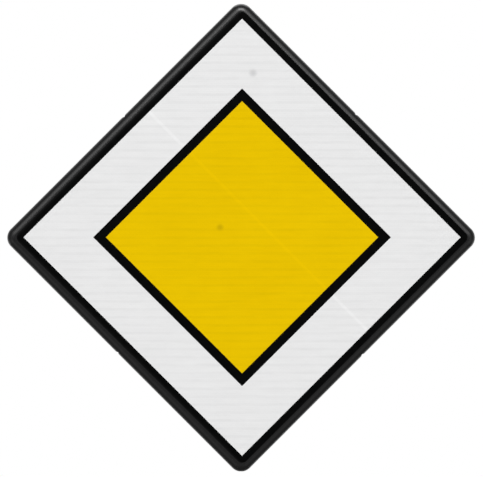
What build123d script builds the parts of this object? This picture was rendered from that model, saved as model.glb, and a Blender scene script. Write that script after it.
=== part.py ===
from build123d import *
import os
from math import radians, cos, sin, sqrt, tan

# Priority road sign: a square plate standing on its corner, on two rear rails that are
# clamped to a round post.
# Frame: origin on the post axis, midway between the two clamps. +X is to the right as seen
# from the front, +Z is up, and the face of the sign looks towards -Y. Millimetres.

# ------------------------------------------------------------------ sign pan
side = 600.0               # outside length of each side of the square
corner_r = 22.0            # outside corner radius, seen from the front
sheet_t = 2.0              # thickness of the pan's sheet
rim_depth = 25.0           # from the front of the flat to the back of the rim
front_fold_r = 14.0        # outside radius of the rolled front edge
rear_fold_r = 5.0          # outside radius of the rear fold
lip_w = 14.0               # return lip at the back, from the outside wall inwards
front_y = -58.0            # front of the pan's flat
plate_back_y = front_y + sheet_t
rim_back_y = front_y + rim_depth

# Creases pressed into the side walls, near the middle of each side
crease_depth = 1.9
crease_half_w = 3.0
crease_a = 5.3             # place along the upper-left and lower-right sides
crease_b = -10.6           # place along the upper-right and lower-left sides

drain_d = 8.0              # drain hole in the lowest corner

# ------------------------------------------------------------------ face films
film_side = 571.0          # white sheeting, over the whole flat
film_corner_r = 11.0
film_t = 0.45              # white sheeting
print_t = 0.15             # coloured films on it
white_side = 547.5         # visible white square
inner_border_side = 373.0  # outside of the inner black border
yellow_side = 341.0        # yellow square
art_x, art_z = 1.7, 0.8    # the films sit slightly off the middle of the pan

# ------------------------------------------------------------------ rails
rail_z = 150.0             # height of each rail above and below the post's middle point
rail_len = 400.0
rail_depth = 20.0
rail_flange_w = 42.0
rail_box_w = 18.0
rail_wall = 2.2
rail_slot_w = 8.6
rail_edge_r = 0.4          # on the lips of the slot
rail_back_y = plate_back_y + rail_depth
rivet_x = (-165.0, -55.0, 55.0, 165.0)
rivet_dz = 15.0
rivet_shank_d = 4.8
rivet_hole_d = 5.0
rivet_head_d = 8.8
rivet_tail_d = 8.8
rivet_tail_h = 1.9

# ------------------------------------------------------------------ post clamps
post_bore_r = 30.25        # for a 60.3 mm post
clamp_h = 34.0             # height of saddle and strap along the post
slide_gap = 0.1            # between the saddle and the back of the rail
bolt_x = 46.0              # bolts to each side of the post
bolt_d = 8.0
bolt_len = 55.0
head_af = 13.0
head_h = 5.3
head_gap = 0.15            # between the bolt head and the rail's lips
saddle_hole_d = 8.6
saddle_half_w = 60.0
saddle_ear_y = -27.0       # rear face of the saddle's ears
saddle_prong_y = -15.2     # rear end of the cradle
rib_h = 6.1                # locating ribs that straddle the rail
rib_t = 3.5
rib_gap = 0.3
saddle_edge_r = 1.0        # cast edges
strap_t = 3.0
strap_edge_r = 0.6         # sheared and tumbled edges
strap_ear_y = -9.0         # rear face of the strap's ears
strap_half_w = 60.0
strap_hole_d = 9.0
washer_d = 16.0
washer_hole_d = 8.4
washer_t = 1.6
washer_edge = 0.3          # chamfer round the washer's rear face
nut_bore_d = 8.2
nut_hex_h = 6.3
nut_collar_d = 11.8
nut_collar_h = 1.7
ring_d = 10.0
ring_h = 1.4
weld_nut_back_y = 40.0
set_screw_len = 12.0
set_screw_tip_y = 30.45
set_screw_hole_d = 8.4
socket_af = 4.0
socket_depth = 5.0

head_r = head_af / sqrt(3)  # hexagon's corner radius
hex_face_d = 12.3           # round left on a hexagon's end face by its 30 degree chamfer
hex_chamfer_h = (head_r + 0.1 - hex_face_d / 2) * tan(radians(30))
os.makedirs("parts", exist_ok=True)


def hexagon_round(places, z0, y_front, y_back, front, back):
    """Turned outline of hexagons on axes along Y: the ends to be chamfered are coned."""
    r, f = head_r + 0.1, hex_face_d / 2
    profile = [(0, y_front)]
    profile += [(f, y_front), (r, y_front + hex_chamfer_h)] if front else [(r, y_front)]
    profile += [(r, y_back - hex_chamfer_h), (f, y_back)] if back else [(r, y_back)]
    profile += [(0, y_back)]
    with BuildPart() as turned:
        for x in places:
            with BuildSketch(Plane(origin=(x, 0, z0), x_dir=(1, 0, 0), z_dir=(0, 0, 1))):
                with BuildLine():
                    Polyline(*profile, close=True)
                make_face()
            revolve(axis=Axis((x, 0, z0), (0, 1, 0)))
    return turned.part


# Where each crease sits: outward direction of the side in degrees, and place along it
half = side / 2
creases = []
for angle, along, run in ((135, (1, 1), crease_a), (315, (1, 1), crease_a),
                          (45, (1, -1), crease_b), (225, (1, -1), crease_b)):
    n = (cos(radians(angle)), sin(radians(angle)))
    t = (along[0] / sqrt(2), along[1] / sqrt(2))
    creases.append(Location((n[0] * half + t[0] * run, n[1] * half + t[1] * run, 0), (0, 0, angle)))

# V of the crease on the outside, and of the same sheet on the inside
flank = crease_depth / crease_half_w
outer_v = [(2.0, crease_half_w + 2.0 / flank), (-crease_depth, 0), (2.0, -crease_half_w - 2.0 / flank)]
inner_apex = -crease_depth - sheet_t * sqrt(1 + flank ** 2)
inner_v = [(0, -inner_apex / flank), (inner_apex, 0), (0, inner_apex / flank)]


# ------------------------------------------------------------------ pan
# Hollow inside the folded sheet: the outside offset inwards by the sheet's thickness
with BuildPart() as hollow:
    with BuildSketch(Plane.XZ.offset(-plate_back_y)):
        RectangleRounded(side - 2 * sheet_t, side - 2 * sheet_t, corner_r - sheet_t, rotation=45)
    extrude(amount=-(rim_depth - 2 * sheet_t))
    fillet(hollow.faces().sort_by(Axis.Y)[0].edges(), front_fold_r - sheet_t)
    fillet(hollow.faces().sort_by(Axis.Y)[-1].edges(), rear_fold_r - sheet_t)
    with BuildSketch(Plane.XZ.offset(-front_y)):
        with Locations(*creases):
            Polygon(*inner_v, align=None)
    extrude(amount=-rim_depth, mode=Mode.SUBTRACT)

with BuildPart() as pan:
    with BuildSketch(Plane.XZ.offset(-front_y)):
        RectangleRounded(side, side, corner_r, rotation=45)
    extrude(amount=-rim_depth)
    fillet(pan.faces().sort_by(Axis.Y)[0].edges(), front_fold_r)
    fillet(pan.faces().sort_by(Axis.Y)[-1].edges(), rear_fold_r)
    # creases in the side walls
    with BuildSketch(Plane.XZ.offset(-front_y)):
        with Locations(*creases):
            Polygon(*outer_v, align=None)
    extrude(amount=-rim_depth, mode=Mode.SUBTRACT)
    # inside of the folds
    add(hollow.part, mode=Mode.SUBTRACT)
    # opening within the return lip
    with BuildSketch(Plane.XZ.offset(-rim_back_y)):
        RectangleRounded(side - 2 * lip_w, side - 2 * lip_w, corner_r - lip_w, rotation=45)
    extrude(amount=sheet_t + 1.0, mode=Mode.SUBTRACT)
    # countersunk rivet holes, from the front
    with Locations(Plane.XZ.offset(-front_y)):
        with Locations(*[(x, s * rail_z + d * rivet_dz) for x in rivet_x for s in (1, -1) for d in (1, -1)]):
            CounterSinkHole(rivet_hole_d / 2, rivet_head_d / 2 + 0.1, depth=sheet_t + 0.5,
                            counter_sink_angle=100)
    # drain hole through the lowest corner
    with BuildSketch(Plane.XY.offset(-430)):
        with Locations((0, front_y + 14.5)):
            Circle(drain_d / 2)
    extrude(amount=40, mode=Mode.SUBTRACT)
pan.part.label = "pan"
export_step(pan.part, "parts/pan.step")

# ------------------------------------------------------------------ face films
with BuildPart() as white_sheeting:
    with BuildSketch(Plane.XZ.offset(-front_y)):
        with Locations((art_x, art_z)):
            RectangleRounded(film_side, film_side, film_corner_r, rotation=45)
    extrude(amount=film_t)
white_sheeting.part.label = "white_sheeting"
export_step(white_sheeting.part, "parts/white_sheeting.step")

print_plane = Plane.XZ.offset(-front_y + film_t)

with BuildPart() as outer_black_border:
    with BuildSketch(print_plane):
        with Locations((art_x, art_z)):
            RectangleRounded(film_side, film_side, film_corner_r, rotation=45)
            Rectangle(white_side, white_side, rotation=45, mode=Mode.SUBTRACT)
    extrude(amount=print_t)
outer_black_border.part.label = "outer_black_border"
export_step(outer_black_border.part, "parts/outer_black_border.step")

with BuildPart() as inner_black_border:
    with BuildSketch(print_plane):
        with Locations((art_x, art_z)):
            Rectangle(inner_border_side, inner_border_side, rotation=45)
            Rectangle(yellow_side, yellow_side, rotation=45, mode=Mode.SUBTRACT)
    extrude(amount=print_t)
inner_black_border.part.label = "inner_black_border"
export_step(inner_black_border.part, "parts/inner_black_border.step")

with BuildPart() as yellow_overlay:
    with BuildSketch(print_plane):
        with Locations((art_x, art_z)):
            Rectangle(yellow_side, yellow_side, rotation=45)
    extrude(amount=print_t)
yellow_overlay.part.label = "yellow_overlay"
export_step(yellow_overlay.part, "parts/yellow_overlay.step")

# ------------------------------------------------------------------ rails and clamps
for level, z0 in (("upper", rail_z), ("lower", -rail_z)):

    # Channel rail: a slotted box on two flanges, drawn across its length
    with BuildPart() as rail:
        with BuildSketch(Plane(origin=(-rail_len / 2, 0, z0), x_dir=(0, 1, 0), z_dir=(1, 0, 0))):
            with Locations((plate_back_y + rail_wall / 2, 0)):
                Rectangle(rail_wall, rail_flange_w)
            with Locations((plate_back_y + rail_depth / 2, 0)):
                Rectangle(rail_depth, rail_box_w)
            with Locations((plate_back_y + rail_depth / 2, 0)):
                Rectangle(rail_depth - 2 * rail_wall, rail_box_w - 2 * rail_wall, mode=Mode.SUBTRACT)
            with Locations((rail_back_y - rail_wall / 2, 0)):
                Rectangle(rail_wall, rail_slot_w, mode=Mode.SUBTRACT)
        extrude(amount=rail_len)
        roots = rail.edges().filter_by(Axis.X).filter_by(
            lambda e: abs(e.center().Y - (plate_back_y + rail_wall)) < 0.01
            and abs(abs(e.center().Z - z0) - rail_box_w / 2) < 0.01)
        fillet(roots, 1.4)
        rear_corners = rail.edges().filter_by(Axis.X).filter_by(
            lambda e: abs(e.center().Y - rail_back_y) < 0.01
            and abs(abs(e.center().Z - z0) - rail_box_w / 2) < 0.01)
        fillet(rear_corners, 0.8)
        flange_corners = rail.edges().filter_by(Axis.X).filter_by(
            lambda e: abs(e.center().Y - (plate_back_y + rail_wall)) < 0.01
            and abs(abs(e.center().Z - z0) - rail_flange_w / 2) < 0.01)
        fillet(flange_corners, 1.0)
        lips = rail.edges().filter_by(Axis.X).filter_by(
            lambda e: abs(abs(e.center().Z - z0) - rail_slot_w / 2) < 0.01)
        fillet(lips, rail_edge_r)
        with Locations(Plane(origin=(0, plate_back_y + rail_wall, z0), x_dir=(1, 0, 0), z_dir=(0, 1, 0))):
            with Locations(*[(x, d * rivet_dz) for x in rivet_x for d in (1, -1)]):
                Hole(rivet_hole_d / 2, depth=rail_wall + 0.2)
    rail.part.label = level + "_rail"
    export_step(rail.part, "parts/" + level + "_rail.step")

    # Flush rivets: countersunk head under the sheeting, upset tail on the rail's flange
    rivet_places = [(x, z0 + d * rivet_dz) for x in rivet_x for d in (1, -1)]
    head_drop = (rivet_head_d - rivet_shank_d) / 2 / tan(radians(50))
    with BuildPart() as rivets:
        with Locations(Plane.XZ.offset(-front_y)):
            with Locations(*rivet_places):
                Cone(rivet_shank_d / 2, rivet_head_d / 2, head_drop,
                     align=(Align.CENTER, Align.CENTER, Align.MAX))
                Cylinder(rivet_shank_d / 2, sheet_t + rail_wall + rivet_tail_h / 2,
                         align=(Align.CENTER, Align.CENTER, Align.MAX))
        with Locations(Plane.XZ.offset(-(plate_back_y + rail_wall))):
            with Locations(*rivet_places):
                Cylinder(rivet_tail_d / 2, rivet_tail_h, align=(Align.CENTER, Align.CENTER, Align.MAX))
        fillet(rivets.edges().group_by(Axis.Y)[-1], 1.3)
    rivets.part.label = level + "_rail_rivets"
    export_step(rivets.part, "parts/" + level + "_rail_rivets.step")

    # Saddle: cradle for the post, flat on the rail, with ribs that straddle the rail
    saddle_base_y = rail_back_y + slide_gap
    with BuildPart() as saddle:
        with BuildSketch(Plane.XY.offset(z0 - clamp_h / 2)) as cradle:
            with BuildLine():
                Polyline((-saddle_half_w, saddle_base_y), (saddle_half_w, saddle_base_y),
                         (saddle_half_w, saddle_ear_y), (38.5, saddle_ear_y), (32.0, saddle_prong_y),
                         (-32.0, saddle_prong_y), (-38.5, saddle_ear_y), (-saddle_half_w, saddle_ear_y),
                         close=True)
            make_face()
            Circle(post_bore_r, mode=Mode.SUBTRACT)
            fillet(cradle.vertices().filter_by(
                lambda v: abs(abs(v.X) - 38.5) < 0.01 and abs(v.Y - saddle_ear_y) < 0.01), 5.0)
            fillet(cradle.vertices().filter_by(
                lambda v: abs(abs(v.X) - 32.0) < 0.01 and abs(v.Y - saddle_prong_y) < 0.01), 2.0)
        extrude(amount=clamp_h)
        # rounded ends, seen from behind
        with BuildSketch(Plane.XZ.offset(60)):
            with Locations((0, z0)):
                RectangleRounded(2 * saddle_half_w, clamp_h, 6.0)
        extrude(amount=-120, mode=Mode.INTERSECT)
        # cast edges, all round behind the flat base
        ear_mid_y = (saddle_base_y + saddle_ear_y) / 2
        cast_edges = saddle.edges().filter_by(
            lambda e: e.center().Y > saddle_base_y + 0.1 and abs(e.center().Y - ear_mid_y) > 0.01
            and (abs(abs(e.center().Z - z0) - clamp_h / 2) < 0.01
                 or abs(e.center().Y - saddle_ear_y) < 0.01 and abs(e.center().X) > 50
                 or abs(e.center().Y - saddle_prong_y) < 0.01 and abs(e.center().X) < 27))
        fillet(cast_edges, saddle_edge_r)
        # ribs to each side of the rail
        with BuildSketch(Plane.XZ.offset(-saddle_base_y)):
            for s in (1, -1):
                with Locations((0, z0 + s * (rail_box_w / 2 + rib_gap + rib_t / 2))):
                    RectangleRounded(2 * saddle_half_w - 14, rib_t, 1.5)
        extrude(amount=rib_h)
        with Locations(Plane(origin=(0, saddle_ear_y, z0), x_dir=(1, 0, 0), z_dir=(0, 1, 0))):
            with Locations((-bolt_x, 0), (bolt_x, 0)):
                Hole(saddle_hole_d / 2, depth=rail_depth)
    saddle.part.label = level + "_saddle"
    export_step(saddle.part, "parts/" + level + "_saddle.step")

    # Strap: bent over the back of the post, with a flat ear at each end
    strap_front_y = strap_ear_y - strap_t
    with BuildPart() as strap:
        with BuildSketch(Plane.XY.offset(z0 - clamp_h / 2)) as bend:
            Circle(post_bore_r + strap_t)
            with Locations((0, strap_front_y / 2)):
                Rectangle(2 * (post_bore_r + strap_t), -strap_front_y)
            with Locations((0, strap_ear_y - strap_t / 2)):
                Rectangle(2 * strap_half_w, strap_t)
            # everything in front of the ears goes
            with Locations((0, strap_front_y - 15)):
                Rectangle(2 * strap_half_w + 10, 30, mode=Mode.SUBTRACT)
            Circle(post_bore_r, mode=Mode.SUBTRACT)
            with Locations((0, strap_front_y / 2 - 1)):
                Rectangle(2 * post_bore_r, -strap_front_y + 2, mode=Mode.SUBTRACT)
            fillet(bend.vertices().filter_by(
                lambda v: abs(abs(v.X) - post_bore_r - strap_t) < 0.01 and abs(v.Y - strap_ear_y) < 0.01), 2.5)
            fillet(bend.vertices().filter_by(
                lambda v: abs(abs(v.X) - post_bore_r) < 0.01 and abs(v.Y - strap_front_y) < 0.01), 5.5)
        extrude(amount=clamp_h)
        # rounded ends, seen from behind
        with BuildSketch(Plane.XZ.offset(60)):
            with Locations((0, z0)):
                RectangleRounded(2 * strap_half_w, clamp_h, 7.0)
        extrude(amount=-120, mode=Mode.INTERSECT)
        # sheared edges, all round the strip
        sheared_edges = strap.edges().filter_by(
            lambda e: abs(e.center().Y - (strap_ear_y - strap_t / 2)) > 0.01
            and (abs(abs(e.center().Z - z0) - clamp_h / 2) < 0.01 or abs(e.center().X) > strap_half_w - 3))
        fillet(sheared_edges, strap_edge_r)
        with Locations(Plane(origin=(0, strap_ear_y, z0), x_dir=(1, 0, 0), z_dir=(0, 1, 0))):
            with Locations((-bolt_x, 0), (bolt_x, 0)):
                Hole(strap_hole_d / 2, depth=strap_t + 1)
        with Locations(Plane(origin=(0, post_bore_r + strap_t + 1, z0), x_dir=(1, 0, 0), z_dir=(0, 1, 0))):
            Hole(set_screw_hole_d / 2, depth=strap_t + 3)
    strap.part.label = level + "_strap"
    export_step(strap.part, "parts/" + level + "_strap.step")

    # Channel bolts: hexagon heads captive in the rail
    head_back_y = rail_back_y - rail_wall - head_gap
    head_round = hexagon_round((-bolt_x, bolt_x), z0, head_back_y - head_h, head_back_y, True, False)
    with BuildPart() as bolts:
        with BuildSketch(Plane.XZ.offset(-(head_back_y - head_h))):
            with Locations((-bolt_x, z0), (bolt_x, z0)):
                RegularPolygon(head_r, 6)
        extrude(amount=-head_h)
        add(head_round, mode=Mode.INTERSECT)
        with BuildSketch(Plane.XZ.offset(-head_back_y)):
            with Locations((-bolt_x, z0), (bolt_x, z0)):
                Circle(bolt_d / 2)
        extrude(amount=-bolt_len)
        chamfer(bolts.faces().sort_by(Axis.Y)[-2:].edges(), 1.0)
    bolts.part.label = level + "_channel_bolts"
    export_step(bolts.part, "parts/" + level + "_channel_bolts.step")

    # Washers on the strap's ears
    with BuildPart() as washers:
        with BuildSketch(Plane.XZ.offset(-strap_ear_y)):
            with Locations((-bolt_x, z0), (bolt_x, z0)):
                Circle(washer_d / 2)
                Circle(washer_hole_d / 2, mode=Mode.SUBTRACT)
        extrude(amount=-washer_t)
        chamfer(washers.edges().group_by(Axis.Y)[-1].filter_by(
            lambda e: abs(e.radius - washer_d / 2) < 0.01), washer_edge)
    washers.part.label = level + "_washers"
    export_step(washers.part, "parts/" + level + "_washers.step")

    # Lock nuts: hexagon with a round collar that holds a plastic ring
    nut_y = strap_ear_y + washer_t
    nut_top_y = nut_y + nut_hex_h + nut_collar_h
    nut_round = hexagon_round((-bolt_x, bolt_x), z0, nut_y, nut_y + nut_hex_h, True, True)
    with BuildPart() as nuts:
        with BuildSketch(Plane.XZ.offset(-nut_y)):
            with Locations((-bolt_x, z0), (bolt_x, z0)):
                RegularPolygon(head_r, 6)
        extrude(amount=-nut_hex_h)
        add(nut_round, mode=Mode.INTERSECT)
        with BuildSketch(Plane.XZ.offset(-(nut_y + nut_hex_h))):
            with Locations((-bolt_x, z0), (bolt_x, z0)):
                Circle(nut_collar_d / 2)
        extrude(amount=-nut_collar_h)
        fillet(nuts.faces().sort_by(Axis.Y)[-2:].edges(), 0.6)
        with Locations(Plane(origin=(0, nut_top_y, z0), x_dir=(1, 0, 0), z_dir=(0, 1, 0))):
            with Locations((-bolt_x, 0), (bolt_x, 0)):
                CounterBoreHole(nut_bore_d / 2, ring_d / 2, ring_h + 0.2,
                                depth=nut_hex_h + nut_collar_h + 0.5)
    nuts.part.label = level + "_lock_nuts"
    export_step(nuts.part, "parts/" + level + "_lock_nuts.step")

    # Plastic locking rings in the nuts
    with BuildPart() as nut_rings:
        with BuildSketch(Plane.XZ.offset(-(nut_top_y - 0.2 - ring_h))):
            with Locations((-bolt_x, z0), (bolt_x, z0)):
                Circle(ring_d / 2 - 0.02)
                Circle(nut_bore_d / 2, mode=Mode.SUBTRACT)
        extrude(amount=-ring_h)
    nut_rings.part.label = level + "_nut_rings"
    export_step(nut_rings.part, "parts/" + level + "_nut_rings.step")

    # Weld nut on the back of the strap, its foot shaped to the bend
    weld_round = hexagon_round((0,), z0, post_bore_r, weld_nut_back_y, False, True)
    with BuildPart() as weld_nut:
        with BuildSketch(Plane.XZ.offset(-(post_bore_r + strap_t - 2))):
            with Locations((0, z0)):
                RegularPolygon(head_r, 6)
        extrude(amount=-(weld_nut_back_y - post_bore_r - strap_t + 2))
        add(weld_round, mode=Mode.INTERSECT)
        with BuildSketch(Plane.XY.offset(z0 - clamp_h)):
            Circle(post_bore_r + strap_t + 0.02)
        extrude(amount=2 * clamp_h, mode=Mode.SUBTRACT)
        with Locations(Plane(origin=(0, weld_nut_back_y, z0), x_dir=(1, 0, 0), z_dir=(0, 1, 0))):
            Hole(nut_bore_d / 2, depth=12)
    weld_nut.part.label = level + "_weld_nut"
    export_step(weld_nut.part, "parts/" + level + "_weld_nut.step")

    # Set screw with a hexagon socket
    set_screw_back_y = set_screw_tip_y + set_screw_len
    with BuildPart() as set_screw:
        with BuildSketch(Plane.XZ.offset(-set_screw_tip_y)):
            with Locations((0, z0)):
                Circle(bolt_d / 2)
        extrude(amount=-set_screw_len)
        chamfer(set_screw.faces().sort_by(Axis.Y)[0].edges(), 1.4)
        chamfer(set_screw.faces().sort_by(Axis.Y)[-1].edges(), 0.7)
        with BuildSketch(Plane.XZ.offset(-set_screw_back_y)):
            with Locations((0, z0)):
                RegularPolygon(socket_af / sqrt(3), 6)
        extrude(amount=socket_depth, mode=Mode.SUBTRACT)
    set_screw.part.label = level + "_set_screw"
    export_step(set_screw.part, "parts/" + level + "_set_screw.step")
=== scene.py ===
import math

import bmesh
import bpy
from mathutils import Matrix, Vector


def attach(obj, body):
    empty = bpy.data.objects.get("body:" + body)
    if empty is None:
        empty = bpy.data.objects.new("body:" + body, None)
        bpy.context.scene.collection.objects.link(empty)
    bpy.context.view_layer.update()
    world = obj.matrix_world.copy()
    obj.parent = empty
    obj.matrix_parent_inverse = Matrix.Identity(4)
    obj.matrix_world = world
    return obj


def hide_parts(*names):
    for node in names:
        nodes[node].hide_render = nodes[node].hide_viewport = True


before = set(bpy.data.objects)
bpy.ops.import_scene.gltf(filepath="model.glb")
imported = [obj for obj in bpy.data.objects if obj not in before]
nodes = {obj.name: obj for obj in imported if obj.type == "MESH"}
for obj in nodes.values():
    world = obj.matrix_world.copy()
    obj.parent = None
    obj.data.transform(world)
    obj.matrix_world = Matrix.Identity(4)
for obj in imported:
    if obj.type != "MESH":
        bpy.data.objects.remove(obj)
bpy.context.view_layer.update()

# Priority road sign: the looks of every piece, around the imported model. Lengths here are in
# millimetres, and MM turns them into metres. The face of the sign looks towards -Y, +Z is up.
MM = 0.001
scene = bpy.context.scene

# ------------------------------------------------------------------ sizes taken over from the model
SIDE, CORNER_R, SHEET = 599.9, 22.0, 2.0
FRONT_R, REAR_R, LIP = 14.0, 5.0, 14.0
FRONT_Y, BACK_Y = -58.0, -33.0
CREASE_DEPTH, CREASE_HALF = 1.9, 3.0
# outward direction of each side in degrees, and the crease's place along it, anticlockwise
SIDES = ((45, 10.6), (135, -5.3), (225, -10.6), (315, 5.3))
DRAIN_D, DRAIN_Y = 8.0, -43.5
LEVELS = (("upper", 150.0), ("lower", -150.0))
BOLT_X, BOLT_R, PITCH = 46.0, 4.0, 1.25
HEAD_AF, HEAD_FACE_R = 13.0, 6.15
HEAD_FRONT_Y, HEAD_BACK_Y, BOLT_END_Y = -43.65, -38.35, 16.65
SCREW_TIP_Y, SCREW_BACK_Y = 30.45, 42.45
STRAP_R, WELD_NUT_BACK_Y = 33.25, 40.0
MOULD_Y = -32.5  # where the halves of the saddle's mould meet


# ------------------------------------------------------------------ mesh helpers
def mesh_object(name, bm):
    bmesh.ops.recalc_face_normals(bm, faces=bm.faces[:])
    mesh = bpy.data.meshes.new(name)
    bm.to_mesh(mesh)
    bm.free()
    obj = bpy.data.objects.new(name, mesh)
    scene.collection.objects.link(obj)
    return obj


def soften(obj, angle):
    mesh = obj.data
    for face in mesh.polygons:
        face.use_smooth = True
    mesh.set_sharp_from_angle(angle=math.radians(angle))


def settle(obj):
    """Makes what an object's modifiers show its own mesh."""
    bpy.context.view_layer.update()
    done = obj.evaluated_get(bpy.context.evaluated_depsgraph_get())
    mesh = bpy.data.meshes.new_from_object(done)
    obj.modifiers.clear()
    old, obj.data = obj.data, mesh
    bpy.data.meshes.remove(old)
    mesh.name = obj.name
    return obj


def combine(obj, other, operation):
    """Joins or cuts obj with other as solids, and removes other."""
    mod = obj.modifiers.new("solid", "BOOLEAN")
    mod.object, mod.operation, mod.solver = other, operation, "EXACT"
    settle(obj)
    old = other.data
    bpy.data.objects.remove(other)
    bpy.data.meshes.remove(old)
    return obj


def join(name, objs):
    """One object out of several separate solids."""
    bm = bmesh.new()
    for obj in objs:
        bm.from_mesh(obj.data)
    out = mesh_object(name, bm)
    for obj in objs:
        old = obj.data
        bpy.data.objects.remove(obj)
        bpy.data.meshes.remove(old)
    return out


def ring_faces(bm, a, b):
    n = len(a)
    for i in range(n):
        bm.faces.new((a[i], a[(i + 1) % n], b[(i + 1) % n], b[i]))


def arc(cd, cy, r, start, end, steps):
    """Points (d, y) on a quarter turn; the angle is from -Y, towards the outside of the pan."""
    out = []
    for i in range(steps + 1):
        t = math.radians(start + (end - start) * i / steps)
        out.append((cd - r * math.sin(t), cy - r * math.cos(t)))
    return out


# ------------------------------------------------------------------ pan
def pan_stations():
    """Stations round the rounded square: where offsets start, the outward direction, the
    distance out to the wall, and the distance to the side's crease."""
    out = []
    straight = SIDE / 2 - CORNER_R
    for angle, crease in SIDES:
        a = math.radians(angle)
        nx, nz, tx, tz = math.cos(a), math.sin(a), -math.sin(a), math.cos(a)
        near = [crease + 0.4 * i for i in range(-17, 18)]
        far = [-straight + straight * i / 9 for i in range(19)]
        for s in sorted(near + [f for f in far if abs(f - crease) > 12.0]):
            out.append((tx * s, tz * s, nx, nz, SIDE / 2, s - crease))
        cx, cz = straight * (nx + tx), straight * (nz + tz)
        for i in range(1, 28):
            b = a + math.radians(90) * i / 28
            out.append((cx, cz, math.cos(b), math.sin(b), CORNER_R, None))
    return out


def pan_profile():
    """The folded sheet's section as (distance in from the wall, y, on the outside)."""
    front_c, rear_c = FRONT_Y + FRONT_R, BACK_Y - REAR_R
    outside = [(FRONT_R + 2.0, FRONT_Y)]
    outside += arc(FRONT_R, front_c, FRONT_R, 0, 90, 24)
    outside += [(0.0, (front_c + rear_c) / 2)]
    outside += arc(REAR_R, rear_c, REAR_R, 90, 180, 12)
    outside += [(LIP - 0.5, BACK_Y), (LIP - 0.15, BACK_Y - 0.15), (LIP, BACK_Y - 0.5)]
    inside = [(LIP, BACK_Y - SHEET + 0.5), (LIP - 0.15, BACK_Y - SHEET + 0.15), (LIP - 0.5, BACK_Y - SHEET)]
    inside += arc(REAR_R, rear_c, REAR_R - SHEET, 180, 90, 10)
    inside += [(SHEET, (front_c + rear_c) / 2)]
    inside += arc(FRONT_R, front_c, FRONT_R - SHEET, 90, 0, 20)
    inside += [(FRONT_R + 2.0, FRONT_Y + SHEET)]
    return [(d, y, True) for d, y in outside] + [(d, y, False) for d, y in inside]


def creased(d, u, outside):
    """Distance in from the wall where the crease dents the sheet, u along from its middle."""
    if u is None or abs(u) > 8.0:
        return d
    flank = CREASE_DEPTH / CREASE_HALF
    deep = CREASE_DEPTH - flank * (math.hypot(u, 0.5) - 0.25)
    if not outside:
        deep += SHEET * math.hypot(1.0, flank)
    return 0.5 * (d + deep + math.hypot(d - deep, 0.35))


def fill_flat(bm, ring):
    """The flat inside a ring: squares parallel to the sides, joined to the ring all round."""
    cells, half, y = 8, SIDE / 2 - 40.0, ring[0].co.y
    grid = []
    for i in range(cells + 1):
        row = []
        for j in range(cells + 1):
            u, v = half * (2 * i / cells - 1), half * (2 * j / cells - 1)
            row.append(bm.verts.new(((u - v) * math.sqrt(0.5) * MM, y, (u + v) * math.sqrt(0.5) * MM)))
        grid.append(row)
    for i in range(cells):
        for j in range(cells):
            bm.faces.new((grid[i][j], grid[i + 1][j], grid[i + 1][j + 1], grid[i][j + 1]))
    border = [v for i, row in enumerate(grid) for j, v in enumerate(row) if i in (0, cells) or j in (0, cells)]
    near = [min(border, key=lambda b: (b.co - v.co).length_squared) for v in ring]
    for k, v in enumerate(ring):
        a, b = near[k - 1], near[k]
        bm.faces.new((ring[k - 1], v, a) if a is b else (ring[k - 1], v, b, a))


def make_pan():
    bm = bmesh.new()
    stations = pan_stations()
    rings = []
    for d, y, outside in pan_profile():
        ring = []
        for ox, oz, nx, nz, reach, u in stations:
            r = reach - creased(d, u, outside)
            ring.append(bm.verts.new(((ox + nx * r) * MM, y * MM, (oz + nz * r) * MM)))
        rings.append(ring)
    for a, b in zip(rings, rings[1:]):
        ring_faces(bm, a, b)
    fill_flat(bm, rings[0])
    fill_flat(bm, rings[-1])
    pan = mesh_object("pan_shell", bm)
    # drain hole through the lowest corner
    bm = bmesh.new()
    top, low = [], []
    for i in range(40):
        a = 2 * math.pi * (i + 0.5) / 40
        x, y = DRAIN_D / 2 * math.cos(a) * MM, (DRAIN_Y + DRAIN_D / 2 * math.sin(a)) * MM
        top.append(bm.verts.new((x, y, -400 * MM)))
        low.append(bm.verts.new((x, y, -425 * MM)))
    ring_faces(bm, top, low)
    bm.faces.new(top)
    bm.faces.new(low)
    combine(pan, mesh_object("drain_tool", bm), "DIFFERENCE")
    soften(pan, 28)
    return pan


# ------------------------------------------------------------------ threaded fasteners
def hexagon(name, x, z, y0, y1, af, face_r, coned0, coned1):
    """Hexagon along Y with two flats facing up and down; a coned end has a 30 degree chamfer."""
    bm = bmesh.new()
    count = 72
    rings = [[] for _ in range(4)]
    for i in range(count):
        a = 2 * math.pi * i / count
        r = af / 2 / math.cos(math.radians((360.0 * i / count) % 60 - 30))
        drop = (r - face_r) * math.tan(math.radians(30))
        c, s = math.cos(a), math.sin(a)
        places = ((face_r if coned0 else r - 0.12, y0), (r, y0 + (drop if coned0 else 0.12)),
                  (r, y1 - (drop if coned1 else 0.12)), (face_r if coned1 else r - 0.12, y1))
        for ring, (rr, y) in zip(rings, places):
            ring.append(bm.verts.new(((x + rr * c) * MM, y * MM, (z + rr * s) * MM)))
    for a, b in zip(rings, rings[1:]):
        ring_faces(bm, a, b)
    bm.faces.new(rings[0])
    bm.faces.new(rings[-1])
    return mesh_object(name, bm)


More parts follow.
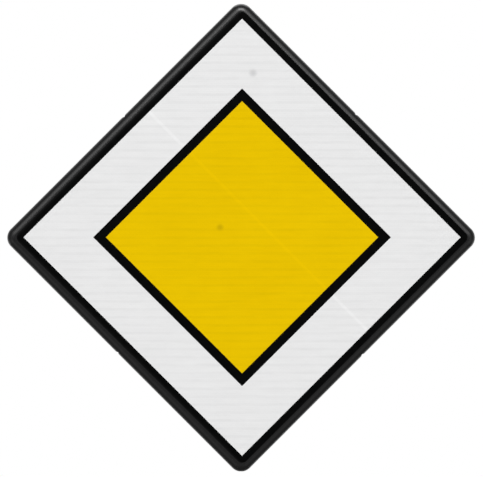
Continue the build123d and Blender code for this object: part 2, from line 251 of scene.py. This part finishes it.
def threaded_rod(name, x, z, y0, y1, cone0, cone1):
    """Rod along Y with a cut thread; each end is coned over the given length."""
    bm = bmesh.new()
    count = 30
    minor = BOLT_R - 0.6134 * PITCH
    steps = ((0.0, BOLT_R), (0.125, BOLT_R), (0.4375, minor), (0.6875, minor))
    turns = int((y1 - y0) / PITCH) + 3
    grid = []
    for turn in range(turns + 1):
        for phase, r in steps:
            row = []
            for j in range(count):
                a = 2 * math.pi * j / count
                y = y0 + PITCH * (turn - 1.5 + phase + j / count)
                limit = BOLT_R
                if cone0:
                    limit = min(limit, BOLT_R - cone0 + max(y - y0, 0.0))
                if cone1:
                    limit = min(limit, BOLT_R - cone1 + max(y1 - y, 0.0))
                rr = min(r, max(limit, minor - 0.3))
                row.append(bm.verts.new(((x + rr * math.cos(a)) * MM, y * MM, (z + rr * math.sin(a)) * MM)))
            grid.append(row)
    for m in range(len(grid) - 5):
        for j in range(count):
            last = j == count - 1
            e, f = (grid[m + 4][0], grid[m + 5][0]) if last else (grid[m][j + 1], grid[m + 1][j + 1])
            bm.faces.new((grid[m][j], e, f, grid[m + 1][j]))
    loose = [v for v in bm.verts if not v.link_faces]
    bmesh.ops.delete(bm, geom=loose, context="VERTS")
    for y, side in ((y0, -1), (y1, 1)):
        everything = bm.verts[:] + bm.edges[:] + bm.faces[:]
        bmesh.ops.bisect_plane(bm, geom=everything, dist=1e-7, plane_co=(0, y * MM, 0), plane_no=(0, side, 0), clear_outer=True)
    bmesh.ops.remove_doubles(bm, verts=bm.verts[:], dist=2e-6)
    rim = [e for e in bm.edges if e.is_boundary]
    bmesh.ops.holes_fill(bm, edges=rim, sides=0)
    return mesh_object(name, bm)


def make_bolts(level, z):
    pair = []
    for x in (-BOLT_X, BOLT_X):
        head = hexagon("head", x, z, HEAD_FRONT_Y, HEAD_BACK_Y, HEAD_AF, HEAD_FACE_R, True, False)
        rod = threaded_rod("rod", x, z, HEAD_BACK_Y - 0.8, BOLT_END_Y, 0.0, 1.0)
        pair.append(combine(head, rod, "UNION"))
    bolts = join(level + "_bolt_pair", pair)
    soften(bolts, 24)
    return bolts


def make_set_screw(level, z):
    screw = threaded_rod(level + "_socket_screw", 0.0, z, SCREW_TIP_Y, SCREW_BACK_Y, 1.4, 0.7)
    socket = hexagon("socket", 0.0, z, SCREW_BACK_Y - 5.0, SCREW_BACK_Y + 1.0, 4.0, 1.0, True, False)
    combine(screw, socket, "DIFFERENCE")
    soften(screw, 24)
    return screw


def make_saddle(level, z):
    """The cast saddle, with the fine ridge that its mould leaves all round the ears."""
    cast = nodes[level + "_saddle"].data
    bm = bmesh.new()
    verts = [bm.verts.new(v.co) for v in cast.vertices]
    for face in cast.polygons:
        if face.area > 0.0:
            bm.faces.new([verts[i] for i in face.vertices])
    bmesh.ops.remove_doubles(bm, verts=bm.verts[:], dist=2e-6)
    for y in (MOULD_Y - 0.3, MOULD_Y, MOULD_Y + 0.3):
        everything = bm.verts[:] + bm.edges[:] + bm.faces[:]
        bmesh.ops.bisect_plane(bm, geom=everything, dist=1e-7, plane_co=(0, y * MM, 0), plane_no=(0, 1, 0))
    bm.normal_update()
    ridge = [v for v in bm.verts if abs(v.co.y - MOULD_Y * MM) < 1e-6
             and (abs(v.co.x) > 55 * MM or abs(v.co.z - z * MM) > 15 * MM)]
    for v in ridge:
        # a little uneven, as flash is
        out = 0.13 + 0.03 * math.sin(0.9 * v.co.x / MM) * math.sin(0.7 * v.co.z / MM)
        v.co += Vector((v.normal.x, 0.0, v.normal.z)).normalized() * out * MM
    saddle = mesh_object(level + "_saddle_casting", bm)
    soften(saddle, 28)
    # the large faces set the shading of the rounded edges beside them
    mod = saddle.modifiers.new("even", "WEIGHTED_NORMAL")
    mod.weight, mod.keep_sharp = 100, True
    return settle(saddle)


def make_weld(level, z):
    """Two short weld beads along the flats of the nut on the strap's back, with ripples."""
    bm = bmesh.new()
    for side in (1, -1):
        rings = []
        count, around = 44, 14
        for i in range(count + 1):
            t = -1 + 2 * i / count
            x = 5.6 * t
            end = math.sqrt(max(1 - t ** 8, 0.02))
            ripple = 1 + 0.07 * math.sin(2 * math.pi * x / 1.15) + 0.04 * math.sin(2.3 * x + side)
            r = 1.35 * end * ripple
            lean = x / STRAP_R
            y = math.sqrt(STRAP_R ** 2 - x * x) + 0.25
            zc = z + side * (HEAD_AF / 2 + 0.25 + 0.08 * math.sin(1.7 * x + 2 * side))
            ring = []
            for k in range(around):
                a = 2 * math.pi * k / around
                up, out = r * math.cos(a), r * math.sin(a)
                ring.append(bm.verts.new(((x + out * math.sin(lean)) * MM, (y + out * math.cos(lean)) * MM, (zc + up) * MM)))
            rings.append(ring)
        for a, b in zip(rings, rings[1:]):
            ring_faces(bm, a, b)
        bm.faces.new(rings[0])
        bm.faces.new(rings[-1])
    weld = mesh_object(level + "_weld_beads", bm)
    soften(weld, 60)
    return weld


# ------------------------------------------------------------------ material helpers
class Look:
    """A node material around one Principled shader. Patterns use the piece's own coordinates,
    in metres."""

    def __init__(self, name, **sockets):
        self.material = bpy.data.materials.new(name)
        self.material.use_nodes = True
        self.tree = self.material.node_tree
        self.tree.nodes.clear()
        out = self.node("ShaderNodeOutputMaterial")
        self.shader = self.node("ShaderNodeBsdfPrincipled")
        self.tree.links.new(self.shader.outputs[0], out.inputs[0])
        coords = self.node("ShaderNodeTexCoord")
        self.place, self.facing = coords.outputs["Object"], coords.outputs["Normal"]
        for key, value in sockets.items():
            self.shader.inputs[key.replace("_", " ")].default_value = value

    def node(self, kind, **props):
        n = self.tree.nodes.new(kind)
        for key, value in props.items():
            setattr(n, key, value)
        return n

    def put(self, socket, value):
        if isinstance(value, bpy.types.NodeSocket):
            self.tree.links.new(value, socket)
        elif value is not None:
            socket.default_value = value

    def set(self, **sockets):
        for key, value in sockets.items():
            self.put(self.shader.inputs[key.replace("_", " ")], value)

    def math(self, op, a, b=None, c=None, clamp=False):
        n = self.node("ShaderNodeMath", operation=op, use_clamp=clamp)
        for socket, value in zip(n.inputs, (a, b, c)):
            self.put(socket, value)
        return n.outputs[0]

    def split(self, vector):
        n = self.node("ShaderNodeSeparateXYZ")
        self.put(n.inputs[0], vector)
        return n.outputs

    def vector(self, x, y, z):
        n = self.node("ShaderNodeCombineXYZ")
        for socket, value in zip(n.inputs, (x, y, z)):
            self.put(socket, value)
        return n.outputs[0]

    def stretched(self, x, y, z):
        n = self.node("ShaderNodeMapping")
        self.put(n.inputs["Vector"], self.place)
        n.inputs["Scale"].default_value = (x, y, z)
        return n.outputs[0]

    def noise(self, scale, detail=2.0, rough=0.5, vector=None, distortion=0.0):
        n = self.node("ShaderNodeTexNoise")
        self.put(n.inputs["Vector"], self.place if vector is None else vector)
        n.inputs["Scale"].default_value = scale
        n.inputs["Detail"].default_value = detail
        n.inputs["Roughness"].default_value = rough
        n.inputs["Distortion"].default_value = distortion
        return n.outputs[0]

    def cells(self, scale, feature="F1", vector=None, randomness=1.0):
        n = self.node("ShaderNodeTexVoronoi", feature=feature)
        self.put(n.inputs["Vector"], self.place if vector is None else vector)
        n.inputs["Scale"].default_value = scale
        n.inputs["Randomness"].default_value = randomness
        return n.outputs["Distance"]

    def remap(self, value, a, b, c, d, smooth=False):
        n = self.node("ShaderNodeMapRange", interpolation_type="SMOOTHSTEP" if smooth else "LINEAR")
        self.put(n.inputs["Value"], value)
        for name, number in zip(("From Min", "From Max", "To Min", "To Max"), (a, b, c, d)):
            self.put(n.inputs[name], number)
        return n.outputs[0]

    def mix(self, factor, a, b, blend="MIX"):
        n = self.node("ShaderNodeMix", data_type="RGBA", blend_type=blend)
        self.put(n.inputs[0], factor)
        for socket, value in ((n.inputs[6], a), (n.inputs[7], b)):
            if isinstance(value, tuple) and len(value) == 3:
                value = (*value, 1.0)
            self.put(socket, value)
        return n.outputs[2]

    def shade(self, colour, factor):
        """A colour times a number that varies over the surface."""
        n = self.node("ShaderNodeVectorMath", operation="SCALE")
        self.put(n.inputs[0], colour)
        self.put(n.inputs["Scale"], factor)
        return n.outputs[0]

    def bump(self, height, distance, strength=1.0, under=None):
        n = self.node("ShaderNodeBump")
        self.put(n.inputs["Height"], height)
        n.inputs["Distance"].default_value = distance
        n.inputs["Strength"].default_value = strength
        self.put(n.inputs["Normal"], under)
        return n.outputs[0]

    def total(self, *values):
        out = values[0]
        for v in values[1:]:
            out = self.math("ADD", out, v)
        return out


# ------------------------------------------------------------------ finishes
def black_coat():
    """Baked black coating: satin, with a fine orange peel, and dust on faces that look up."""
    m = Look("black_coat_finish", Specular_IOR_Level=0.575)
    cloud = m.noise(9.0, 4.0, 0.6)
    fine = m.noise(520.0, 2.0, 0.55)
    grain = m.noise(2600.0, 1.0, 0.5)
    tone = m.remap(m.total(m.math("MULTIPLY", cloud, 0.6), m.math("MULTIPLY", grain, 0.4)), 0.3, 0.7, 0.0, 1.0)
    base = m.mix(tone, (0.0028, 0.0028, 0.0030), (0.0048, 0.0048, 0.0051))
    # light dust, kept to the back and to ledges that look up
    up = m.split(m.facing)
    ledge = m.math("MULTIPLY", m.remap(up[2], 0.25, 0.95, 0.0, 1.0, True), m.remap(up[1], -0.4, 0.2, 0.0, 1.0, True))
    # on the back it lies thin, in faint upright runs
    runs = m.remap(m.noise(1.0, 4.0, 0.6, m.stretched(34.0, 34.0, 3.2)), 0.35, 0.7, 0.25, 1.15)
    back = m.math("MULTIPLY", m.remap(up[1], 0.5, 1.0, 0.0, 1.6, True), runs)
    dust = m.math("MULTIPLY", m.math("MAXIMUM", ledge, back), m.remap(m.noise(26.0, 6.0, 0.68), 0.36, 0.72, 0.0, 1.0))
    base = m.mix(m.math("MULTIPLY", dust, 0.16), base, (0.16, 0.155, 0.145))
    # rain keeps the rolled front edge clean; the walls and the back are duller
    dull = m.remap(up[1], -0.3, 0.05, 0.0, 0.26, True)
    rough = m.total(m.remap(fine, 0.3, 0.7, 0.29, 0.32), dull, m.math("MULTIPLY", dust, 0.08))
    peel = m.bump(fine, 0.00006, 0.25)
    m.set(Base_Color=base, Roughness=rough, Normal=m.bump(grain, 0.000008, 0.4, peel))
    return m.material


def sheeting_pattern(m, joint_gain):
    """Rows of sealed cells in the sheeting, each row four courses high, its one lengthwise joint
    and a faint mottle: the brightness factor, the height and the places on the face."""
    x, y, z = m.split(m.place)
    face = m.vector(x, z, 0.0)
    brick = m.node("ShaderNodeTexBrick", offset=0.5, squash=1.0)
    m.put(brick.inputs["Vector"], face)
    for name, value in (("Color1", (0.0, 0.0, 0.0, 1.0)), ("Color2", (1.0, 1.0, 1.0, 1.0)), ("Mortar", (0.5, 0.5, 0.5, 1.0)),
                        ("Scale", 1.0), ("Mortar Size", 0.00026), ("Mortar Smooth", 0.35), ("Bias", 0.0),
                        ("Brick Width", 0.0070), ("Row Height", ROW * MM / 4)):
        brick.inputs[name].default_value = value
    tint = m.split(brick.outputs["Color"])[0]
    gap = brick.outputs["Fac"]
    drift = m.remap(m.noise(30.0, 2.0), 0.3, 0.7, -0.0004, 0.0004)
    band = m.math("PINGPONG", m.math("ADD", z, drift), ROW * MM / 2)
    seal = m.remap(band, 0.0006, 0.0036, 1.0, 0.0, True)
    # the seals show in some stretches more than in others
    patchy = m.noise(1.0, 2.0, 0.55, m.vector(m.math("MULTIPLY", x, 22.0), m.math("MULTIPLY", z, 75.0), 3.7))
    seal = m.math("MULTIPLY", seal, m.remap(patchy, 0.3, 0.7, 0.35, 1.55))
    # each row of the sheeting differs a little from the next
    rows = m.noise(1.0, 2.0, 0.6, m.vector(m.math("MULTIPLY", x, 14.0), m.math("MULTIPLY", z, 120.0), 0.0))
    mottle = m.noise(5.0, 4.0, 0.6)
    # joint of two strips of sheeting, parallel to two of the sides
    across = m.math("ABSOLUTE", m.math("SUBTRACT", m.math("MULTIPLY", m.math("ADD", x, z), math.sqrt(0.5)), 0.0423))
    waver = m.math("ADD", across, m.remap(m.noise(70.0, 2.0), 0.0, 1.0, -0.0004, 0.0004))
    joint = m.remap(waver, 0.0010, 0.0042, 1.0, 0.0, True)
    bright = m.total(m.remap(tint, 0.0, 1.0, 1.001, 1.013), m.remap(rows, 0.3, 0.7, -0.019, 0.019),
                     m.remap(mottle, 0.3, 0.7, -0.004, 0.004), m.math("MULTIPLY", gap, 0.03),
                     m.math("MULTIPLY", seal, -0.033), m.math("MULTIPLY", joint, joint_gain))
    height = m.total(m.math("MULTIPLY", tint, 0.12), m.math("MULTIPLY", gap, -0.6), m.math("MULTIPLY", seal, -0.3),
                     m.math("MULTIPLY", joint, 0.8))
    return bright, height, x, z


def speck(m, x, z, at, radius):
    """A soft round mark at a place on the face, 1 in its middle."""
    dx = m.math("SUBTRACT", x, at[0] * MM)
    dz = m.math("SUBTRACT", z, at[1] * MM)
    away = m.math("SQRT", m.math("ADD", m.math("MULTIPLY", dx, dx), m.math("MULTIPLY", dz, dz)))
    away = m.math("ADD", away, m.remap(m.noise(420.0, 2.0), 0.0, 1.0, -0.0008, 0.0008))
    return m.remap(away, radius * 0.1 * MM, radius * MM, 1.0, 0.0, True)


def white_sheet():
    m = Look("white_sheet_finish", Roughness=0.34, Specular_IOR_Level=0.3)
    bright, height, x, z = sheeting_pattern(m, 0.058)
    tone = m.remap(m.noise(14.0, 3.0, 0.6), 0.35, 0.65, 0.0, 1.0)
    base = m.mix(tone, WHITE_A, WHITE_B)
    base = m.shade(base, bright)
    base = m.mix(m.math("MULTIPLY", speck(m, x, z, (21.1, 291.7), 10.0), 0.36), base, (0.33, 0.33, 0.34))
    # the cut edge, out past the white, is sealed with black
    reach = m.math("MULTIPLY", m.math("ADD", m.math("ABSOLUTE", x), m.math("ABSOLUTE", z)), math.sqrt(0.5))
    sealed = m.remap(reach, 0.2790, 0.2795, 0.0, 1.0)
    base = m.mix(sealed, base, (0.0016, 0.0016, 0.0022))
    m.set(Base_Color=base, Normal=m.bump(height, 0.00002, 0.35))
    return m.material


def yellow_film():
    m = Look("yellow_film_finish", Roughness=0.34, Specular_IOR_Level=0.02)
    bright, height, x, z = sheeting_pattern(m, 0.038)
    tone = m.remap(m.noise(11.0, 3.0, 0.6), 0.35, 0.65, 0.0, 1.0)
    base = m.mix(tone, YELLOW_A, YELLOW_B)
    base = m.shade(base, bright)
    base = m.mix(m.math("MULTIPLY", speck(m, x, z, (-37.3, 18.3), 9.0), 0.36), base, (0.30, 0.19, 0.004))
    m.set(Base_Color=base, Normal=m.bump(height, 0.00002, 0.35))
    return m.material


def black_film():
    m = Look("black_film_finish", Specular_IOR_Level=0.05)
    x, y, z = m.split(m.place)
    cloud = m.noise(16.0, 4.0, 0.6)
    rows = m.noise(1.0, 2.0, 0.6, m.vector(m.math("MULTIPLY", x, 12.0), m.math("MULTIPLY", z, 240.0), 0.0))
    tone = m.remap(m.total(m.math("MULTIPLY", cloud, 0.6), m.math("MULTIPLY", rows, 0.4)), 0.3, 0.7, 0.0, 1.0)
    # painted sheen: the outer frame is a little greyer towards its left-hand edges, a sheen painted into its colour
    left = m.math("MULTIPLY", m.math("SUBTRACT", m.math("ABSOLUTE", z), x), math.sqrt(0.5))
    base = m.mix(m.remap(left, 0.2800, 0.2850, 0.0, 1.0), m.mix(tone, (0.0007, 0.0008, 0.0008), (0.0016, 0.0018, 0.0017)),
                 (0.0064, 0.0064, 0.0065))
    m.set(Base_Color=base,
          Roughness=m.remap(m.noise(90.0, 3.0), 0.3, 0.7, 0.3, 0.4),
          Normal=m.bump(m.noise(900.0, 2.0), 0.00001, 0.3))
    return m.material


def extruded_aluminium():
    """Mill finish: fine die lines along the length, saw marks on the cut ends, a few scuffs."""
    m = Look("extruded_aluminium_finish", Metallic=1.0)
    lines = m.noise(1.0, 3.0, 0.65, m.stretched(6.0, 1700.0, 1700.0))
    broad = m.noise(1.0, 2.0, 0.5, m.stretched(2.5, 260.0, 260.0))
    cloud = m.noise(22.0, 4.0, 0.6)
    scuff = m.remap(m.noise(1.0, 2.0, 0.7, m.stretched(90.0, 1400.0, 700.0), 1.2), 0.66, 0.78, 0.0, 1.0)
    x, y, z = m.split(m.place)
    saw = m.noise(1.0, 2.0, 0.6, m.vector(0.0, m.math("MULTIPLY", m.math("ADD", z, m.math("MULTIPLY", y, 0.35)), 2400.0), m.math("MULTIPLY", y, 60.0)))
    cut = m.remap(m.math("ABSOLUTE", m.split(m.facing)[0]), 0.8, 0.95, 0.0, 1.0)
    marks = m.math("ADD", m.math("MULTIPLY", m.math("SUBTRACT", 1.0, cut), lines), m.math("MULTIPLY", cut, saw))
    tone = m.total(m.math("MULTIPLY", marks, 0.45), m.math("MULTIPLY", broad, 0.3), m.math("MULTIPLY", cloud, 0.25))
    base = m.mix(m.remap(tone, 0.32, 0.68, 0.0, 1.0), (0.56, 0.565, 0.575), (0.76, 0.765, 0.775))
    base = m.mix(m.math("MULTIPLY", scuff, 0.35), base, (0.42, 0.42, 0.43))
    m.set(Base_Color=base,
          Roughness=m.total(m.remap(tone, 0.3, 0.7, 0.3, 0.42), m.math("MULTIPLY", scuff, 0.12), m.math("MULTIPLY", cut, 0.28)),
          Normal=m.bump(m.math("ADD", marks, m.math("MULTIPLY", scuff, -0.5)), 0.00003, 0.5))
    return m.material


def cast_aluminium():
    """Die-cast skin: fine grain, soft flow marks and shallow pits."""
    m = Look("cast_aluminium_finish", Metallic=1.0)
    grain = m.noise(1500.0, 3.0, 0.6)
    flow = m.noise(70.0, 4.0, 0.6, None, 1.4)
    pits = m.remap(m.cells(420.0), 0.0, 0.22, 1.0, 0.0, True)
    pits = m.math("MULTIPLY", pits, m.remap(m.noise(160.0, 2.0), 0.52, 0.66, 0.0, 1.0))
    tone = m.total(m.math("MULTIPLY", grain, 0.35), m.math("MULTIPLY", flow, 0.65))
    base = m.mix(m.remap(tone, 0.34, 0.66, 0.0, 1.0), (0.40, 0.405, 0.415), (0.60, 0.605, 0.61))
    base = m.mix(m.math("MULTIPLY", pits, 0.5), base, (0.24, 0.24, 0.245))
    m.set(Base_Color=base, Roughness=m.remap(tone, 0.3, 0.7, 0.4, 0.58),
          Normal=m.bump(m.total(m.math("MULTIPLY", grain, 0.5), m.math("MULTIPLY", flow, 0.7), m.math("MULTIPLY", pits, -0.8)), 0.00012, 0.6))
    return m.material


def rivet_aluminium():
    m = Look("rivet_aluminium_finish", Metallic=1.0)
    turned = m.noise(900.0, 3.0, 0.6)
    cloud = m.noise(240.0, 2.0)
    tone = m.total(m.math("MULTIPLY", turned, 0.5), m.math("MULTIPLY", cloud, 0.5))
    m.set(Base_Color=m.mix(m.remap(tone, 0.35, 0.65, 0.0, 1.0), (0.58, 0.585, 0.59), (0.76, 0.76, 0.765)),
          Roughness=m.remap(tone, 0.3, 0.7, 0.26, 0.4), Normal=m.bump(turned, 0.00002, 0.4))
    return m.material


def zinc_plated_steel():
    """Bright zinc: slightly blue, blotchy, with fine scratches and a warmer tint in places."""
    m = Look("zinc_plated_steel_finish", Metallic=1.0)
    blotch = m.noise(140.0, 4.0, 0.62)
    fine = m.noise(1900.0, 2.0, 0.6)
    scratch = m.remap(m.noise(1.0, 2.0, 0.6, m.stretched(180.0, 2600.0, 2600.0), 0.6), 0.62, 0.74, 0.0, 1.0)
    warm = m.remap(m.noise(60.0, 3.0, 0.6), 0.5, 0.72, 0.0, 1.0)
    base = m.mix(m.remap(blotch, 0.34, 0.66, 0.0, 1.0), (0.50, 0.52, 0.555), (0.70, 0.715, 0.74))
    base = m.mix(m.math("MULTIPLY", warm, 0.28), base, (0.62, 0.58, 0.49))
    base = m.mix(m.math("MULTIPLY", scratch, 0.4), base, (0.78, 0.785, 0.79))
    m.set(Base_Color=base, Roughness=m.math("ADD", m.remap(blotch, 0.3, 0.7, 0.24, 0.4), m.math("MULTIPLY", fine, 0.05)),
          Normal=m.bump(m.total(fine, m.math("MULTIPLY", scratch, -0.6)), 0.00002, 0.5))
    return m.material


def black_steel():
    m = Look("black_steel_finish", Specular_IOR_Level=0.6)
    blotch = m.noise(300.0, 4.0, 0.6)
    rub = m.remap(m.noise(700.0, 3.0, 0.6), 0.6, 0.72, 0.0, 1.0)
    base = m.mix(m.remap(blotch, 0.35, 0.65, 0.0, 1.0), (0.010, 0.010, 0.011), (0.022, 0.021, 0.020))
    m.set(Base_Color=m.mix(m.math("MULTIPLY", rub, 0.5), base, (0.09, 0.088, 0.085)),
          Roughness=m.remap(blotch, 0.3, 0.7, 0.3, 0.46), Normal=m.bump(m.noise(2200.0, 2.0), 0.00002, 0.4))
    return m.material


def lock_ring_plastic():
    m = Look("lock_ring_finish", Specular_IOR_Level=0.45)
    cloud = m.noise(420.0, 3.0, 0.6)
    m.set(Base_Color=m.mix(m.remap(cloud, 0.35, 0.65, 0.0, 1.0), (0.60, 0.62, 0.60), (0.72, 0.73, 0.70)),
          Roughness=m.remap(cloud, 0.3, 0.7, 0.42, 0.56), Normal=m.bump(m.noise(1500.0, 2.0), 0.00002, 0.4))
    return m.material


def weld_metal():
    """Weld beads under the zinc: rippled, with straw heat tints in patches."""
    m = Look("weld_finish", Metallic=1.0)
    blotch = m.noise(420.0, 4.0, 0.65)
    tint = m.remap(m.noise(260.0, 2.0), 0.4, 0.62, 0.0, 1.0)
    base = m.mix(m.remap(blotch, 0.34, 0.66, 0.0, 1.0), (0.33, 0.33, 0.345), (0.55, 0.55, 0.56))
    m.set(Base_Color=m.mix(m.math("MULTIPLY", tint, 0.35), base, (0.40, 0.31, 0.22)),
          Roughness=m.remap(blotch, 0.3, 0.7, 0.36, 0.55), Normal=m.bump(blotch, 0.0001, 0.5))
    return m.material


WHITE_A, WHITE_B = (0.826, 0.826, 0.828), (0.836, 0.836, 0.838)
YELLOW_A, YELLOW_B = (0.814, 0.536, 0.0005), (0.830, 0.550, 0.0008)
ROW = 14.09  # height of the sheeting's rows

finishes = {
    "black_coat": black_coat(),
    "white_sheet": white_sheet(),
    "yellow_film": yellow_film(),
    "black_film": black_film(),
    "extruded_aluminium": extruded_aluminium(),
    "rivet_aluminium": rivet_aluminium(),
    "cast_aluminium": cast_aluminium(),
    "zinc_plated_steel": zinc_plated_steel(),
    "black_steel": black_steel(),
    "lock_ring_plastic": lock_ring_plastic(),
    "weld": weld_metal(),
}


def finish_with(obj, name):
    obj.data.materials.clear()
    obj.data.materials.append(finishes[name])


# ------------------------------------------------------------------ pieces
pan = make_pan()
finish_with(pan, "black_coat")
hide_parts("pan")
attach(pan, "panel")

for node, look in (("white_sheeting", "white_sheet"), ("yellow_overlay", "yellow_film"),
                   ("inner_black_border", "black_film"), ("outer_black_border", "black_film")):
    finish_with(nodes[node], look)

for level, z in LEVELS:
    for part, look in (("rail", "extruded_aluminium"), ("rail_rivets", "rivet_aluminium"), ("strap", "zinc_plated_steel"),
                       ("washers", "zinc_plated_steel"), ("lock_nuts", "zinc_plated_steel"), ("weld_nut", "zinc_plated_steel"),
                       ("nut_rings", "lock_ring_plastic")):
        finish_with(nodes[level + "_" + part], look)

    saddle = make_saddle(level, z)
    finish_with(saddle, "cast_aluminium")
    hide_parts(level + "_saddle")
    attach(saddle, "post_clamps")

    bolts = make_bolts(level, z)
    finish_with(bolts, "zinc_plated_steel")
    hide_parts(level + "_channel_bolts")
    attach(bolts, "post_clamps")

    screw = make_set_screw(level, z)
    finish_with(screw, "black_steel")
    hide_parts(level + "_set_screw")
    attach(screw, level + "_strap_set")

    weld = make_weld(level, z)
    finish_with(weld, "weld")
    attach(weld, level + "_strap_set")


# ------------------------------------------------------------------ floor, light and camera
def make_floor(z, radius):
    bm = bmesh.new()
    rings = []
    for k in range(1, 13):
        r = radius * k / 12
        rings.append([bm.verts.new((r * math.cos(2 * math.pi * i / 96), r * math.sin(2 * math.pi * i / 96), z)) for i in range(96)])
    bm.faces.new(rings[0])
    for a, b in zip(rings, rings[1:]):
        ring_faces(bm, a, b)
    for face in bm.faces:
        if face.normal.z < 0:
            face.normal_flip()
    mesh = bpy.data.meshes.new("floor")
    bm.to_mesh(mesh)
    bm.free()
    floor = bpy.data.objects.new("floor", mesh)
    scene.collection.objects.link(floor)
    m = Look("floor_finish", Roughness=0.7, Specular_IOR_Level=0.2)
    x, y, _ = m.split(m.place)
    away = m.math("SQRT", m.math("ADD", m.math("MULTIPLY", x, x), m.math("MULTIPLY", y, y)))
    m.set(Base_Color=m.mix(m.noise(3.0, 4.0, 0.6), (0.45, 0.45, 0.447), (0.49, 0.49, 0.487)),
          Alpha=m.remap(away, radius * 0.3, radius * 0.98, 0.28, 0.0, True))
    floor.data.materials.append(m.material)


make_floor(-0.95, 6.0)

world = bpy.data.worlds.new("studio")
world.use_nodes = True
tree = world.node_tree
tree.nodes.clear()
sky = tree.nodes.new("ShaderNodeOutputWorld")
glow = tree.nodes.new("ShaderNodeBackground")
ramp = tree.nodes.new("ShaderNodeValToRGB")
turn = tree.nodes.new("ShaderNodeMapRange")
parts = tree.nodes.new("ShaderNodeSeparateXYZ")
look = tree.nodes.new("ShaderNodeTexCoord")
tree.links.new(look.outputs["Generated"], parts.inputs[0])
tree.links.new(parts.outputs[1], turn.inputs["Value"])
turn.inputs["From Min"].default_value, turn.inputs["From Max"].default_value = -1.0, 1.0
tree.links.new(turn.outputs[0], ramp.inputs[0])
tree.links.new(ramp.outputs[0], glow.inputs["Color"])
# soft room light: brightest behind the sign, and dimmer straight in front of it
stops = ((0.0, 0.09), (0.06, 0.15), (0.17, 0.45), (0.42, 0.18), (0.6, 0.22), (0.9, 0.85))
ramp.color_ramp.interpolation = "EASE"
while len(ramp.color_ramp.elements) < len(stops):
    ramp.color_ramp.elements.new(0.5)
for element, (at, value) in zip(ramp.color_ramp.elements, stops):
    element.position, element.color = at, (value, value, value, 1.0)
# little of it comes from below, and more from low down in the room
rise = tree.nodes.new("ShaderNodeMapRange")
rise.inputs["From Min"].default_value, rise.inputs["From Max"].default_value = -1.0, 1.0
tree.links.new(parts.outputs[2], rise.inputs["Value"])
low_ramp = tree.nodes.new("ShaderNodeValToRGB")
tree.links.new(rise.outputs[0], low_ramp.inputs[0])
levels = ((0.0, 0.35), (0.15, 0.35), (0.24, 1.1), (0.31, 2.2), (0.45, 1.0))
low_ramp.color_ramp.interpolation = "EASE"
while len(low_ramp.color_ramp.elements) < len(levels):
    low_ramp.color_ramp.elements.new(0.5)
for element, (at, value) in zip(low_ramp.color_ramp.elements, levels):
    element.position, element.color = at, (value, value, value, 1.0)
tree.links.new(low_ramp.outputs[0], glow.inputs["Strength"])
# the wall of the room itself is plain white all round
wall = tree.nodes.new("ShaderNodeBackground")
wall.inputs["Color"].default_value = (1.0, 1.0, 1.0, 1.0)
path = tree.nodes.new("ShaderNodeLightPath")
either = tree.nodes.new("ShaderNodeMixShader")
tree.links.new(path.outputs["Is Camera Ray"], either.inputs[0])
tree.links.new(glow.outputs[0], either.inputs[1])
tree.links.new(wall.outputs[0], either.inputs[2])
tree.links.new(either.outputs[0], sky.inputs["Surface"])
scene.world = world


def softbox(name, at, aim, width, height, watts):
    light = bpy.data.lights.new(name, "AREA")
    light.shape, light.size, light.size_y, light.energy = "RECTANGLE", width, height, watts
    obj = bpy.data.objects.new(name, light)
    obj.location = at
    obj.rotation_euler = (Vector(aim) - Vector(at)).to_track_quat("-Z", "Y").to_euler()
    obj.visible_camera = False
    scene.collection.objects.link(obj)


softbox("softbox_top", (0.0, -25.92, 18.76), (0.0, 0.0, 0.0), 16.0, 16.0, 6920.0)
softbox("softbox_left", (-14.56, -24.52, 14.56), (0.0, 0.0, 0.0), 17.6, 17.6, 1176.0)
softbox("softbox_right", (14.56, -24.52, 14.56), (0.0, 0.0, 0.0), 17.6, 17.6, 1176.0)
softbox("softbox_back", (0.0, 2.1, 3.2), (0.0, 0.0, 0.0), 4.0, 3.0, 48.0)

# Head-on view with a long lens. The frame is 483 by 477; one pixel is 1.7753 mm at the wall of the pan.
camera = bpy.data.cameras.new("camera")
camera.sensor_fit, camera.sensor_width, camera.lens = "HORIZONTAL", 36.0, 300.0
camera.clip_start, camera.clip_end = 0.1, 100.0
pixel = 1.7753 * MM
distance = 483 * pixel * camera.lens / camera.sensor_width
eye = bpy.data.objects.new("camera", camera)
eye.location = (0.4 * pixel, -0.044 - distance, -0.8 * pixel)
eye.rotation_euler = (math.pi / 2, 0.0, 0.0)
scene.collection.objects.link(eye)
scene.camera = eye
scene.view_settings.view_transform = "Standard"
scene.view_settings.look = "None"

bpy.context.view_layer.update()
